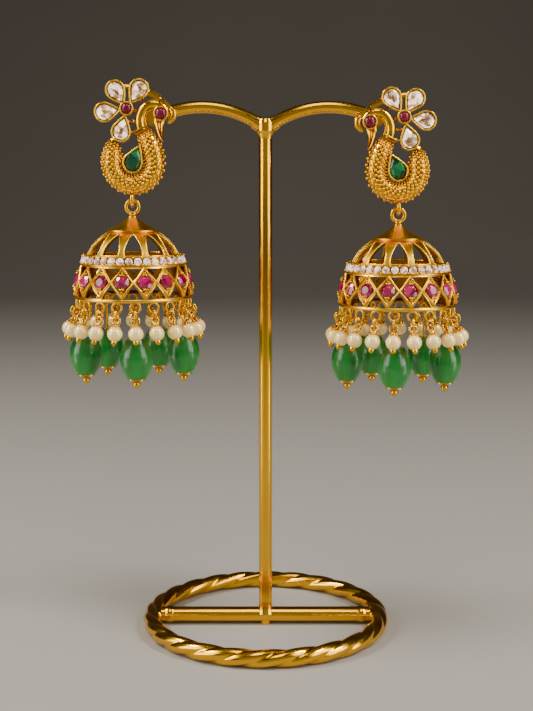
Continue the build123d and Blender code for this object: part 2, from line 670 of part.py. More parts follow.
def green_parts():
    """Pin and drilled bead of the green drop at the bell's front."""
    loop_z, size, wire = GREEN_LOOP
    half_w, half_h = GREEN_SIZE
    cap_r, cap_h = GREEN_CAP
    ball_r, neck = GREEN_BALL
    eye_z = loop_z - size + 2 * wire + PLAY - size
    low, top = GREEN_Z - half_h, GREEN_Z + half_h
    axis = (0, -GREEN_R_AT)
    ball_z = low - cap_h - neck - ball_r
    pin = disc(GREEN_PIN_R, ball_z, eye_z - size, axis).fuse(
        ring(size, wire, (*axis, eye_z), (1, 0, 0)),
        disc(cap_r, low - cap_h, low - BORE_PLAY, axis),
        disc(GREEN_TOP_CAP[0], top + BORE_PLAY, top + GREEN_TOP_CAP[1], axis),
        ball(ball_r, (*axis, ball_z)),
    )
    # an ellipse that would come to a point beyond the flat ends
    cut_at = asin(GREEN_END_R / half_w)
    reach = half_h / cos(cut_at)
    upright = Plane((0, 0, 0), x_dir=(0, 0, -1), z_dir=(0, -1, 0))
    side = Edge.make_ellipse(reach, half_w, upright, degrees(cut_at), 180 - degrees(cut_at))
    ends = chain([(GREEN_END_R, half_h), (0, half_h), (0, -half_h), (GREEN_END_R, -half_h)])
    section = Face(Wire(ends + [side]))
    bead = revolve(section, Axis.Z, 360).solid().moved(Location((*axis, GREEN_Z)))
    bore = disc(GREEN_PIN_R + BORE_PLAY, GREEN_Z - 2 * half_h, GREEN_Z + 2 * half_h, axis)
    return pin, bead.cut(bore)


# ---------------------------------------------------------------- assembly

def stud_nodes(name, side, lower):
    """Stud metal, its stones and its nut."""
    base = CRESCENT_Z - lower
    pieces = {"peacock_stud": stud_metal(ARM_END[1] - base)}
    for petal, way, far in PETALS:
        pieces["flower_crystal_" + petal] = pear_stone(PETAL_IN, PETAL_TOP, 5).moved(petal_place(way, far))
    pieces["flower_ruby"] = cabochon(*RUBY_SETTING[1:]).moved(Location((*FLOWER, 0)))
    pieces["eye_ruby"] = cabochon(*EYE_SETTING[1:]).moved(Location((*EYE, 0)))
    pieces["emerald"] = pear_stone(EMERALD_IN, EMERALD_TOP, 5).moved(emerald_place())
    # the stud's plane: its x stays, its y goes up and its z comes forwards
    upright = Location(Plane((0, 0, 0), x_dir=(1, 0, 0), z_dir=(0, -1, 0)))
    place = Location((side * HANG_X, BACK_Y, base))
    nodes = {}
    for node, shape in pieces.items():
        left = shape.moved(upright)
        here = left if side < 0 else left.mirror(Plane.YZ)
        nodes[name + "_" + node] = [here.moved(place)]
    radius, near, back = NUT
    x = side * ARM_END[0]
    nut = rod((x, near, ARM_END[1]), (x, back, ARM_END[1]), radius)
    bore = rod((x, near - 1, ARM_END[1]), (x, back + 1, ARM_END[1]), POST_R + BORE_PLAY)
    nodes[name + "_ear_nut"] = [nut.cut(bore)]
    return nodes


def drop_nodes(name, side, lower, turns):
    """Bell, its stones and all that hangs from it."""
    bell_turn, pearl_phase, green_phase = [-side * turn for turn in turns]
    pearl_turns = evenly(PEARLS, pearl_phase)
    green_turns = [green_phase + turn for turn in GREEN_TURNS]
    link, pearl_pin, pearl = pearl_parts()
    green_pin, green_bead = green_parts()
    pieces = {
        "bell_dome": [bell_metal(bell_turn, pearl_turns, green_turns)],
        "bell_rubies": bell_rubies(bell_turn),
        "band_crystals": band_crystals(bell_turn),
        "pearl_links": around(link, pearl_turns),
        "pearl_pins": around(pearl_pin, pearl_turns),
        "pearls": around(pearl, pearl_turns),
        "green_pins": around(green_pin, green_turns),
    }
    for i, bead in enumerate(around(green_bead, green_turns), 1):
        pieces["green_bead_" + str(i)] = [bead]
    place = Location((side * HANG_X, HANG_Y, CRESCENT_Z - lower - RIM_BELOW))
    return {name + "_" + node: [shape.moved(place) for shape in shapes] for node, shapes in pieces.items()}


nodes = {"stand_base_ring": [base_ring()], "stand_frame": [stand_frame()]}
for name, side, lower, *turns in SIDES:
    nodes.update(stud_nodes(name, side, lower))
    nodes.update(drop_nodes(name, side, lower, turns))

os.makedirs("parts", exist_ok=True)
for node, shapes in nodes.items():
    solids = [solid for shape in shapes for solid in shape.solids()]
    export_step(solids[0] if len(solids) == 1 else Compound(children=solids), "parts/" + node + ".step")
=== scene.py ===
import json
from math import asin, atan2, cos, degrees, hypot, pi, radians, sin, sqrt, tan

import bmesh
import bpy
from mathutils import Matrix, Vector


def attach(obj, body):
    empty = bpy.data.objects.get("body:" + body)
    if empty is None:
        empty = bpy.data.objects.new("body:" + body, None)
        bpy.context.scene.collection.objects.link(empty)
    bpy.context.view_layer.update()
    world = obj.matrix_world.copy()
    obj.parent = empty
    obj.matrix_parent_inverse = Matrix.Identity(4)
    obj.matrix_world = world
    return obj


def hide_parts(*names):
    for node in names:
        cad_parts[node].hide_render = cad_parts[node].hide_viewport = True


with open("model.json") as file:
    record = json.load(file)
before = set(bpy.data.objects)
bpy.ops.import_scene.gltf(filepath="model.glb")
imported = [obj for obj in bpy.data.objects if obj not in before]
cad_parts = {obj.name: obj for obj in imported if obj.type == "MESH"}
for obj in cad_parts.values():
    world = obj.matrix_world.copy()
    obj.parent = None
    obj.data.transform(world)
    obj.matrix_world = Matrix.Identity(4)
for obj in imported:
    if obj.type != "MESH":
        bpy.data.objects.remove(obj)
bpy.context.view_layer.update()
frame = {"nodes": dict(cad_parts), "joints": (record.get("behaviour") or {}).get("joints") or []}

# Pieces are shaped in millimetres at the bench, then placed in metres in the frame of the CAD.
METRES = Matrix.Scale(0.001, 4)

# The pair: sign of x, turn of the bell and turn of the pearls, degrees.
SIDES = {"left": (-1, 6.3, 7.6), "right": (1, 4.0, 9.0)}
BACK_Y = -1.75                               # back of the studs
RIM_BELOW = 24.95                            # bell's rim below the crescent's lowest point
PIVOT_ABOVE = 22.5                           # swing axis above the bell's rim

# Studs, in a stud's own plane. The crescent's spine: x, y, half width.
CRESCENT = [
    (2.75, 15.35, 1.55), (3.75, 13.75, 2.05), (4.65, 11.90, 2.34), (5.45, 9.80, 2.40), (5.64, 7.60, 2.39),
    (5.15, 5.60, 2.36), (4.05, 3.95, 2.33), (2.35, 2.80, 2.30), (0.35, 2.36, 2.30), (-1.60, 2.80, 2.32),
    (-3.35, 3.95, 2.34), (-4.45, 5.60, 2.38), (-4.90, 7.60, 2.40), (-4.75, 9.60, 2.36), (-4.80, 11.20, 1.95),
    (-5.05, 12.40, 1.35), (-5.30, 13.25, 0.70),
]
# the crescent's round section: height of its middle, and the middle's rise and the radius per half width
SECTION = (0.75, 0.344, 1.0056)
BED = (0.77, 0.98)                           # bed over it, dark with painted shade: its middle's height, radius per half width
GRANULE_ROWS = 10
GRANULE_SPREAD = 84                          # how far the outermost rows lie from the section's top, degrees
GRANULE_PITCH = 1.18                         # spacing of a row's granules along the crescent's spine
GRANULE_R = 0.40
GRANULE_OUT = 0.06                           # how far a granule's middle stands out of the section

FLOWER = (-1.0, 20.7)
# Petals: the way each points from the flower's middle, degrees, and how far out it sits.
PETALS = {"1": (121.5, 5.20), "2": (57.0, 5.66), "3": (188.5, 5.55), "4": (255.0, 5.76)}
PEAR_SHOULDER = 26.0                         # how far past its widest place a pear stays round, degrees
PEAR_MIDDLE = 0.28                           # how far a pear stone's table sits towards its tip

# Pear-shaped bezels: outer radius and tip, inner radius and tip, top.
PETAL = (2.42, 4.25, 2.02, 3.5, 2.7)
EMERALD = (2.45, 4.75, 2.1, 4.05, 3.4)
EMERALD_AT = (0.3, 7.7, -24.5)               # x, y, turn
# Wires on their rims and inside them: inset at the side and at the tip, radius, depth below the top.
PETAL_RIM = (0.15, 0.24, 0.19, 0.02)
EMERALD_RIM = (0.17, 0.27, 0.24, 0.04)
PETAL_SEAT = (0.06, 0.1, 0.17, 0.22)
EMERALD_SEAT = (0.04, 0.07, 0.13, 0.2)
# Their stones: gap at the side and at the tip, height above the bezel's top, table's share.
PETAL_STONE = (0.14, 0.25, 0.25, 0.58)
EMERALD_STONE = (0.1, 0.18, 0.32, 0.66)
RUBY_CUP = (1.67, 1.28, 3.3)                 # outer radius, inner radius, top
EYE_CUP = (1.78, 1.42, 4.1)
EYE_AT = (7.35, 19.45)
CUP_FLOOR = 0.9
# Bars round the emerald: radius of their ring, height, a bar's radius and length.
GALLERY = (2.85, 1.9, 0.13, 1.3)

# Cut stones.
STONE_SIDES = 48
MAIN_FACETS = 8
GIRDLE_STEEPER = (1.28, 1.10)                # girdle facets against the main ones, above and below the girdle
STAR_STEEPNESS = 0.72                        # star facets against the main ones

# Bells, with heights above the rim.
RHOMBI = 16
RHOMB = (2.35, 2.95)                         # half width, half height
RHOMB_SEAT = (13.98, 4.45, 14.5)             # radius, height and lean of a rhombus's middle
FRAME_OUT = (0.67, 0.84)                     # how far a ruby's frame reaches past its rhombus
RIDGE_OUT = (0.35, 0.44)                     # the same for the wire along its ridge
# Its stones: radius, heights of culet, girdle and table, and the table's share.
RUBY = (1.68, (-2.0, 0.02, 0.10, 0.58), 0.52)
RUBY_BACK = -0.35                            # where a ruby's point is cut off
WINDOWS = 12
# A window: half width, sill, foot of the arc, the arc's middle, point.
WINDOW = (2.2, 10.55, 11.7, (1.38, 13.95), 15.72)
WINDOW_WIRE = 0.17
# The bell's outer line: heights and radii of the lattice, radii and heights of the dome.
LATTICE = ((0.5, 14.1), (2.1, 14.5), (3.7, 14.32), (5.3, 13.85), (6.7, 13.36), (8.1, 12.75), (8.2, 12.82))
DOME = ((11.35, 10.4), (9.55, 13.2), (5.9, 15.95))
DOME_STEPS = (10.45, 11.4, 12.3, 13.2, 14.2, 15.1, 15.95)
FLANGE = (14.02, 0.46, 0.06)                 # rim's wire: ring's radius, wire's radius, height
BAND_STONES = 36
BAND_SEAT = (11.925, 9.25, 15.9)             # radius, height, lean
BAND_STONE = (0.88, (-0.35, 0.36, 0.44, 0.82), 0.55)
BAND_BEAD = (0.86, 0.72)                     # beads beside the band: distance from its middle line, height
PEARLS = 20
PEARL_AT = (15.9, -7.5)                      # radius, height
PEARL_LEAN = 17.2                            # how far a pearl's pin leans outwards, degrees
GREEN_BEADS = 5
BEAD = (3.93, 4.7, 2.35, 0.62)               # green bead: half width, half height, radius of its ends, bore

# Stand.
ROPE = (29.4, 2.2, 1.75, 8)                  # ring radius, strand radius, valley radius, turns
STRANDS = 3
BAR_SOLDER = (27.3, 2.4)                     # where the crossbar's ends are soldered to the rope: x, height
LEVEL_GOLD = (0.0056, 0.1255)                # its bars lie level below and above these heights, metres

# Studio, in metres. The floor: width, depth and its middle's y, then the curve and the wall at its back.
FLOOR = (8, 2.8, -0.4)
CURVE_STEPS = 12
CURVE_STEP = 0.13
WALL_HEIGHT = 2
PAPER = ((0.33, 0.317, 0.295), (0.37, 0.357, 0.335))
BACKGROUND = (0.040, 0.024, 0.015, 1)

# Camera: focal length in millimetres, place, and how far it looks down, degrees.
LENS = 60.25
CAMERA_AT = (0.00025, -0.2972, 0.1103)
LOOKS_DOWN = 7.69
LAMPS_AIM_AT = (0, 0, 0.09)

# Soft boxes: name, place, width and height, watts, colour.
SOFT_BOXES = (
    ("left_wall", (-0.54, -0.28, 0.30), (0.38, 0.46), 2.6, (1.0, 0.93, 0.82)),
    ("right_wall", (0.52, -0.33, 0.30), (0.38, 0.46), 2.5, (1.0, 0.93, 0.82)),
    ("left_box", (-0.46, -0.05, 0.56), (0.16, 0.16), 3.1, (1.0, 0.95, 0.88)),
    ("right_box", (0.42, -0.16, 0.58), (0.15, 0.16), 2.8, (1.0, 0.95, 0.88)),
    ("overhead", (0.0, -0.34, 0.80), (0.26, 0.50), 1.6, (1.0, 0.95, 0.88)),
    ("left_strip", (-0.20, -0.05, 0.06), (0.05, 0.12), 0.06, (1.0, 0.93, 0.82)),
    ("right_strip", (0.20, -0.07, 0.06), (0.05, 0.12), 0.06, (1.0, 0.93, 0.82)),
    ("front_fill", (0.0, -1.25, 0.40), (1.4, 0.6), 0.75, (1.0, 0.93, 0.84)),
)


# ---------------------------------------------------------------- bench

def put_down():
    """Leaves edit mode with nothing selected."""
    if bpy.context.object and bpy.context.object.mode != "OBJECT":
        bpy.ops.object.mode_set(mode="OBJECT")
    bpy.ops.object.select_all(action="DESELECT")


def pick_up(*pieces):
    put_down()
    for piece in pieces:
        piece.select_set(True)
    bpy.context.view_layer.objects.active = pieces[0]


def begin(primitive, **size):
    """Adds a primitive and opens it in edit mode with all of it selected."""
    put_down()
    primitive(**size)
    bpy.ops.object.transform_apply()
    bpy.ops.object.mode_set(mode="EDIT")
    bpy.ops.mesh.select_all(action="SELECT")
    return bpy.context.object


def choose(kind, test):
    """Selects the vertices, edges or faces whose middle passes the test."""
    bpy.ops.mesh.select_mode(type=kind)
    bpy.ops.mesh.select_all(action="DESELECT")
    mesh = bmesh.from_edit_mesh(bpy.context.object.data)
    parts = {"VERT": mesh.verts, "EDGE": mesh.edges, "FACE": mesh.faces}[kind]
    for part in parts:
        if kind == "VERT":
            middle = part.co
        else:
            middle = sum((v.co for v in part.verts), Vector()) / len(part.verts)
        part.select_set(test(middle))
    mesh.select_flush_mode()
    bmesh.update_edit_mesh(bpy.context.object.data)


def grow(x, y, z):
    bpy.ops.transform.resize(value=(x, y, z), center_override=(0, 0, 0))


def shift(x, y, z):
    bpy.ops.transform.translate(value=(x, y, z))


def finish_with(piece, kind, **settings):
    """Adds a modifier and applies it."""
    pick_up(piece)
    modifier = piece.modifiers.new(kind, kind)
    for name, value in settings.items():
        setattr(modifier, name, value)
    bpy.ops.object.modifier_apply(modifier=modifier.name)
    return piece


def tidy(piece, angle=35.0):
    """Merges doubles, points the faces outwards and smooths all but the sharp edges."""
    pick_up(piece)
    bpy.ops.object.mode_set(mode="EDIT")
    bpy.ops.mesh.select_all(action="SELECT")
    bpy.ops.mesh.remove_doubles(threshold=0.002)
    bpy.ops.mesh.normals_make_consistent(inside=False)
    pick_up(piece)
    if angle:
        bpy.ops.object.shade_smooth_by_angle(angle=radians(angle))
    else:
        bpy.ops.object.shade_flat()
    put_down()
    return piece


def copies(model, places):
    """Copies of a model, each with its own mesh, at the given places."""
    made = []
    for place in places:
        copy = model.copy()
        copy.data = model.data.copy()
        copy.data.transform(place)
        if place.determinant() < 0:
            copy.data.flip_normals()
        bpy.context.scene.collection.objects.link(copy)
        made.append(copy)
    bpy.data.objects.remove(model)
    return made


def joined(pieces):
    pick_up(*pieces)
    bpy.ops.object.join()
    piece = bpy.context.object
    put_down()
    return piece


def deliver(piece, name, body, finish, place, stands_for=()):
    """Places a finished piece in the frame and hands it to its body."""
    piece.name = name
    piece.data.name = name
    piece.data.transform(METRES @ place)
    if place.determinant() < 0:
        piece.data.flip_normals()
    if finish:
        piece.data.materials.clear()
        piece.data.materials.append(finish)
    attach(piece, body)
    if stands_for:
        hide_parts(*stands_for)
    return piece


def at(x, y, z=0.0, turn=0.0):
    return Matrix.Translation((x, y, z)) @ Matrix.Rotation(radians(turn), 4, "Z")


# ---------------------------------------------------------------- places

def stud_place(side, x, base):
    """The stud's plane, with x towards the pole, y up and z forwards, stood up in the frame."""
    turned = Matrix(((-side, 0, 0, 0), (0, 0, -1, 0), (0, 1, 0, 0), (0, 0, 0, 1)))
    return Matrix.Translation((x, BACK_Y, base)) @ turned


def wall_place(turn, radius, height, lean):
    """On the bell's wall: x along the wall, y up it, z outwards. Turn 0 faces the front."""
    return (
        Matrix.Rotation(radians(turn), 4, "Z")
        @ Matrix.Translation((0, -radius, height))
        @ Matrix.Rotation(radians(90 - lean), 4, "X")
    )


def petal_place(direction, distance):
    x = FLOWER[0] + distance * cos(radians(direction))
    y = FLOWER[1] + distance * sin(radians(direction))
    return at(x, y, turn=direction + 90)


def emerald_place():
    return at(*EMERALD_AT[:2], turn=EMERALD_AT[2])


def evenly(count, phase=0.0):
    return [phase + i * 360 / count for i in range(count)]


def round_spots(radius, height, turns):
    """Places on a level circle."""
    return [at(radius * cos(radians(turn)), radius * sin(radians(turn)), height) for turn in turns]


# ---------------------------------------------------------------- finishes

class Value:
    """A number or colour that changes over a surface."""

    def __init__(self, finish, socket):
        self.finish, self.socket = finish, socket

    def math(self, operation, *numbers):
        return self.finish.node("ShaderNodeMath", {"operation": operation}, dict(enumerate(numbers)))

    def __add__(self, other):
        return self.math("ADD", self, other)

    __radd__ = __add__

    def __sub__(self, other):
        return self.math("SUBTRACT", self, other)

    def __rsub__(self, other):
        return self.math("SUBTRACT", other, self)

    def __mul__(self, other):
        return self.math("MULTIPLY", self, other)

    __rmul__ = __mul__


class Finish:
    """A material made of one shader and the nodes that feed it."""

    def __init__(self, name, **shader):
        self.material = bpy.data.materials.new(name)
        self.material.use_nodes = True
        self.tree = self.material.node_tree
        self.tree.nodes.clear()
        self.shader = self.tree.nodes.new("ShaderNodeBsdfPrincipled")
        out = self.tree.nodes.new("ShaderNodeOutputMaterial")
        self.tree.links.new(self.shader.outputs[0], out.inputs[0])
        self.here = self.node("ShaderNodeTexCoord", output="Object")
        self.fill(self.shader, {name.replace("_", " "): value for name, value in shader.items()})

    def fill(self, node, sockets):
        for key, value in sockets.items():
            if isinstance(value, Value):
                self.tree.links.new(value.socket, node.inputs[key])
            else:
                node.inputs[key].default_value = value

    def node(self, kind, settings=None, sockets=None, output=0):
        made = self.tree.nodes.new(kind)
        for key, value in (settings or {}).items():
            if key == "stops":
                ramp = made.color_ramp.elements
                ramp.remove(ramp[1])
                ramp[0].position = value[0][0]
                for position, _ in value[1:]:
                    ramp.new(position)
                for stop, (_, colour) in zip(ramp, value):
                    stop.color = (*colour, 1)
            else:
                setattr(made, key, value)
        self.fill(made, sockets or {})
        return Value(self, made.outputs[output])

    def cloud(self, size, detail=2.0, stretch=(1, 1, 1)):
        """Soft noise whose patches are about this many metres across."""
        place = self.node("ShaderNodeMapping", {}, {"Vector": self.here, "Scale": stretch})
        return self.node("ShaderNodeTexNoise", {}, {"Vector": place, "Scale": 1 / size, "Detail": detail})

    def blend(self, amount, low, high):
        """Colour between two colours."""
        low, high = [(*colour, 1) if isinstance(colour, tuple) else colour for colour in (low, high)]
        return self.node("ShaderNodeMix", {"data_type": "RGBA"}, {0: amount, 6: low, 7: high}, 2)

    def steps(self, value, *stops):
        return self.node("ShaderNodeValToRGB", {"stops": stops}, {0: value})

    def feed(self, **sockets):
        self.fill(self.shader, {name.replace("_", " "): value for name, value in sockets.items()})
        return self

    def dents(self, height, depth):
        """Bump from a height of 0 to 1, so many metres deep."""
        return self.feed(Normal=self.node("ShaderNodeBump", {}, {"Height": height, "Distance": depth}))


def bell_line():
    """The bell's outer line, as heights above the rim and radii.
    Nothing below the rim or in the cap counts as inside it."""
    (mx, mz), radius = circle_through(*DOME)
    dome = [(z, mx + sqrt(radius ** 2 - (z - mz) ** 2)) for z in DOME_STEPS]
    flange = [(-0.36, 0.0), (-0.32, 14.3), (0.45, 14.3)]
    return [*flange, *LATTICE, (10.35, 12.2), *dome, (16.08, 5.9), (16.1, 0.0)]


def polished_gold():
    """Gold whose colour drifts a little, with fine polishing marks and softer shine where it is handled."""
    gold = Finish("polished_gold", Metallic=1.0)
    drift = gold.cloud(0.006)
    marks = gold.cloud(0.0004, 3.0)
    gold.feed(
        Base_Color=gold.blend(drift, (0.79, 0.42, 0.008), (0.87, 0.50, 0.018)),
        Roughness=0.12 + 0.09 * marks + 0.05 * drift,
    )
    return gold.dents(marks, 0.000008).material


def bell_gold(name, axis, rim):
    """A bell's soft gold with painted shade: its inner faces and its pockets are coloured dark brown.
    Axis and rim are in millimetres."""
    gold = Finish(name + "_bell_gold", Metallic=1.0)
    drift = gold.cloud(0.005)
    centre = (axis.x / 1000, axis.y / 1000, rim / 1000)
    here = gold.node("ShaderNodeVectorMath", {"operation": "SUBTRACT"}, {0: gold.here, 1: centre})
    x, y, height = [gold.node("ShaderNodeSeparateXYZ", {}, {0: here}, i) for i in range(3)]
    squares = x * x + y * y
    reach = squares.math("SQRT", squares)
    # the bell's outer line as a ramp, from 2 mm below the rim to 18 mm above it
    line = gold.steps(height * 50.0 + 0.1, *[((z + 2) / 20, (r / 20,) * 3) for z, r in bell_line()])
    # painted shade mask: 0 on faces within 0.25 mm of the bell's outer line, 1 on faces 0.65 mm or more
    # inside it
    inside = gold.steps(line * 20.0 - reach * 1000.0, (0.25, (0, 0, 0)), (0.65, (1, 1, 1)))
    bright = gold.blend(drift, (0.83, 0.44, 0.008), (0.90, 0.52, 0.018))
    gold.feed(
        # painted shade: the inner faces take a dark brown in place of the gold
        Base_Color=gold.blend(inside, bright, (0.36, 0.13, 0.004)),
        Roughness=0.25 + 0.1 * drift + 0.08 * inside,
    )
    return gold.material


def painted_highlight_edge_finish():
    """Gold of the thin raised edges: smooth, and lighter in colour than the other gold as a painted
    highlight.
    """
    gold = Finish("bright_edge_gold", Metallic=1.0)
    drift = gold.cloud(0.004)
    gold.feed(
        # painted highlight: lighter and yellower than the bell's gold
        Base_Color=gold.blend(drift, (0.90, 0.53, 0.020), (0.95, 0.61, 0.040)),
        Roughness=0.24 + 0.08 * drift,
    )
    return gold.material


def granule_gold():
    """Gold of the granules, its colour drifting a little, and rougher than the polished gold."""
    gold = Finish("granule_gold", Metallic=1.0)
    drift = gold.cloud(0.003)
    gold.feed(
        Base_Color=gold.blend(drift, (0.80, 0.42, 0.006), (0.88, 0.50, 0.014)),
        Roughness=0.27 + 0.06 * drift,
    )
    return gold.material


def shaded_gold():
    """Near-black gold that paints the shade between the granules and inside the bezels."""
    gold = Finish("painted_shade_dark_gold", Metallic=1.0)
    drift = gold.cloud(0.002)
    gold.feed(
        # painted shade: near-black browns stand in for the shade between raised parts
        Base_Color=gold.blend(drift, (0.10, 0.036, 0.002), (0.18, 0.07, 0.004)),
        Roughness=0.5 + 0.12 * drift,
    )
    return gold.material


def satin_gold():
    """The stand's gold: long soft streaks that run along the pole, the bar and the arms."""
    gold = Finish("satin_stand_gold", Metallic=1.0)
    height = gold.node("ShaderNodeSeparateXYZ", {}, {0: gold.here}, 2)
    low, high = LEVEL_GOLD
    across = height.math("GREATER_THAN", height, high) + height.math("LESS_THAN", height, low)
    upright, level = gold.cloud(0.0008, 2.0, (1, 1, 0.04)), gold.cloud(0.0008, 2.0, (0.04, 1, 1))
    drawn = upright + across * (level - upright)
    drift = gold.cloud(0.02)
    gold.feed(
        Base_Color=gold.blend(drift, (0.86, 0.44, 0.012), (0.93, 0.54, 0.034)),
        Roughness=0.13 + 0.12 * drawn,
    )
    return gold.dents(drawn, 0.00001).material


def gem(name, size, clearness, ior, painted_glint_strength, *stops):
    """Cut stone in its own colour, painted in light and dark patches that stand for its facets' reflections,
    the lightest of them glowing as painted glints.
    """
    stone = Finish(
        name, IOR=ior, Roughness=0.04, Transmission_Weight=clearness,
        Coat_Weight=0.15, Coat_Roughness=0.02, Emission_Strength=painted_glint_strength,
    )
    # painted reflections: light and dark patches in the colour stand for the facets' reflections
    patches = stone.node("ShaderNodeTexVoronoi", {}, {"Vector": stone.here, "Scale": 1 / size}, 1)
    pick = stone.node("ShaderNodeSeparateColor", {}, {0: patches})
    colour = stone.steps(pick, *stops)
    stone.feed(Base_Color=colour)
    # painted glints: the lightest patches glow
    if painted_glint_strength:
        dark, bright = (0.0, 0.0, 0.0), stops[-1][1]
        stone.feed(Emission_Color=stone.steps(pick, (0.5, dark), (0.72, bright)))
    return stone.material


def cabochon_ruby():
    """Smooth ruby, a little cloudy inside."""
    stone = Finish(
        "smooth_ruby", IOR=1.7, Roughness=0.22, Specular_IOR_Level=0.18, Transmission_Weight=0.3,
    )
    colour = stone.blend(stone.cloud(0.0015), (0.13, 0.0, 0.016), (0.30, 0.002, 0.05))
    return stone.feed(Base_Color=colour).material


def green_glass():
    """Milky green glass with swirls that run along the bead; painted light makes it lighter towards its
    bottom and darker towards its top.
    """
    glass = Finish(
        "milky_green_glass", IOR=1.45, Transmission_Weight=0.6, Roughness=0.3,
        Coat_Weight=0.5, Coat_Roughness=0.12,
        Subsurface_Weight=0.45, Subsurface_Radius=(0.3, 1.0, 0.5), Subsurface_Scale=0.002,
    )
    swirl = glass.cloud(0.005, 1.0, (1, 1, 0.6))
    own_box = glass.node("ShaderNodeTexCoord", output="Generated")
    height = glass.node("ShaderNodeSeparateXYZ", {}, {0: own_box}, 2)
    # painted light: the colour grows lighter down the bead
    painted_light_share = 0.85 + 0.3 * swirl - height
    return glass.feed(Base_Color=glass.blend(painted_light_share, (0.003, 0.19, 0.022), (0.02, 0.50, 0.07))).material


def frosted_bore():
    """Pale ground glass inside the beads' bores."""
    bore = Finish("frosted_bore", Roughness=0.6)
    colour = bore.blend(bore.cloud(0.001), (0.16, 0.66, 0.25), (0.30, 0.80, 0.38))
    return bore.feed(Base_Color=colour).material


def pearl_with_painted_light():
    """Cream pearl with a soft lustre under a clear skin, and a faint warm glow of painted light."""
    pearl = Finish(
        "cream_pearl", Metallic=0.15, Roughness=0.26, Specular_IOR_Level=0.6,
        Coat_Weight=0.8, Coat_Roughness=0.14, Coat_IOR=1.6,
        Subsurface_Weight=0.1, Subsurface_Radius=(1.0, 0.7, 0.4), Subsurface_Scale=0.0004,
        # painted light: the pearl glows faintly in warm cream
        Emission_Color=(1.0, 0.58, 0.15, 1.0), Emission_Strength=0.22,
    )
    skin = pearl.cloud(0.0025)
    return pearl.feed(Base_Color=pearl.blend(skin, (1.0, 0.73, 0.25), (1.0, 0.83, 0.37))).material


gold = polished_gold()
painted_shade_dark_gold = shaded_gold()
satin = satin_gold()
rubbed = granule_gold()
# bright: the edges' gold, its lighter colour a painted highlight
bright = painted_highlight_edge_finish()
smooth_ruby = cabochon_ruby()
ruby = gem(
    "ruby", 0.002, 0.5, 1.76, 0.0,
    (0.2, (0.30, 0.0, 0.04)), (0.5, (0.50, 0.0, 0.10)), (0.8, (0.78, 0.02, 0.24)),
)
emerald = gem(
    "emerald", 0.0022, 0.5, 1.58, 0.0,
    (0.2, (0.0, 0.05, 0.02)), (0.5, (0.0, 0.12, 0.04)), (0.8, (0.01, 0.34, 0.10)),
)
# the crystals glow in their lightest patches: painted glints
crystal = gem(
    "champagne_crystal", 0.0011, 0.75, 2.0, 1.1,
    (0.25, (0.40, 0.21, 0.11)), (0.5, (0.86, 0.62, 0.42)), (0.75, (1.0, 0.88, 0.74)),
)
white_crystal = gem(
    "white_crystal", 0.0006, 0.7, 1.9, 0.8,
    (0.1, (0.80, 0.55, 0.40)), (0.4, (1.0, 0.86, 0.76)), (0.8, (1.0, 0.96, 0.92)),
)
glass = green_glass()
frosted = frosted_bore()
pearl = pearl_with_painted_light()


# ---------------------------------------------------------------- stand

def from_crest(spot):
    """How far round the rope's section a corner lies from the nearest strand's crest, degrees."""
    half = 180 / STRANDS
    return abs((degrees(atan2(spot.y, spot.x)) + half) % (2 * half) - half)


def rope_ring():
    """Three strands twisted together, closed into a ring that lies on the floor."""
    ring_r, strand_r, valley_r, turns = ROPE
    corners, half = 12 * STRANDS, 180 / STRANDS
    piece = begin(bpy.ops.mesh.primitive_circle_add, vertices=corners, radius=strand_r)
    for i in range(6):
        away = i * 360 / corners
        radius = strand_r - (strand_r - valley_r) * (1 - away / half) ** 2
        choose("VERT", lambda spot: abs(from_crest(spot) - away) < 2)
        grow(radius / strand_r, radius / strand_r, 1)
    put_down()
    finish_with(
        piece, "SCREW", angle=-2 * pi * turns, screw_offset=2 * pi * ring_r, steps=360, render_steps=360,
        use_smooth_shade=True,
    )
    finish_with(piece, "SIMPLE_DEFORM", deform_method="BEND", deform_axis="X", angle=2 * pi)
    pick_up(piece)
    bpy.ops.object.mode_set(mode="EDIT")
    bpy.ops.mesh.select_all(action="SELECT")
    shift(0, -ring_r, 0)
    put_down()
    piece.data.transform(Matrix.Rotation(radians(90), 4, "Y"))
    return tidy(piece, 60)


def bar_solder():
    """Lumps of solder between the crossbar's ends and the rope."""
    lump = begin(bpy.ops.mesh.primitive_ico_sphere_add, subdivisions=4, radius=1)
    grow(0.95, 2.1, 1.75)
    choose("VERT", lambda spot: spot.z > 0.9 or spot.y > 1.3)
    grow(0.8, 1.12, 0.9)
    put_down()
    tidy(lump, 60)
    x, z = BAR_SOLDER
    return joined(copies(lump, [at(x, 0, z), at(-x, 0, z, 180)]))


# ---------------------------------------------------------------- stud

def pear_side(radius, tip):
    """A pear outline's right side between the round end and the tip: its middle, its radius and its sweep."""
    shoulder = radians(PEAR_SHOULDER)
    chord = Vector((-radius * cos(shoulder), tip - radius * sin(shoulder)))
    sweep = 2 * (atan2(chord.y, chord.x) - shoulder - pi / 2)
    side_r = chord.length / (2 * sin(sweep / 2))
    return Vector((cos(shoulder), sin(shoulder))) * (radius - side_r), side_r, sweep


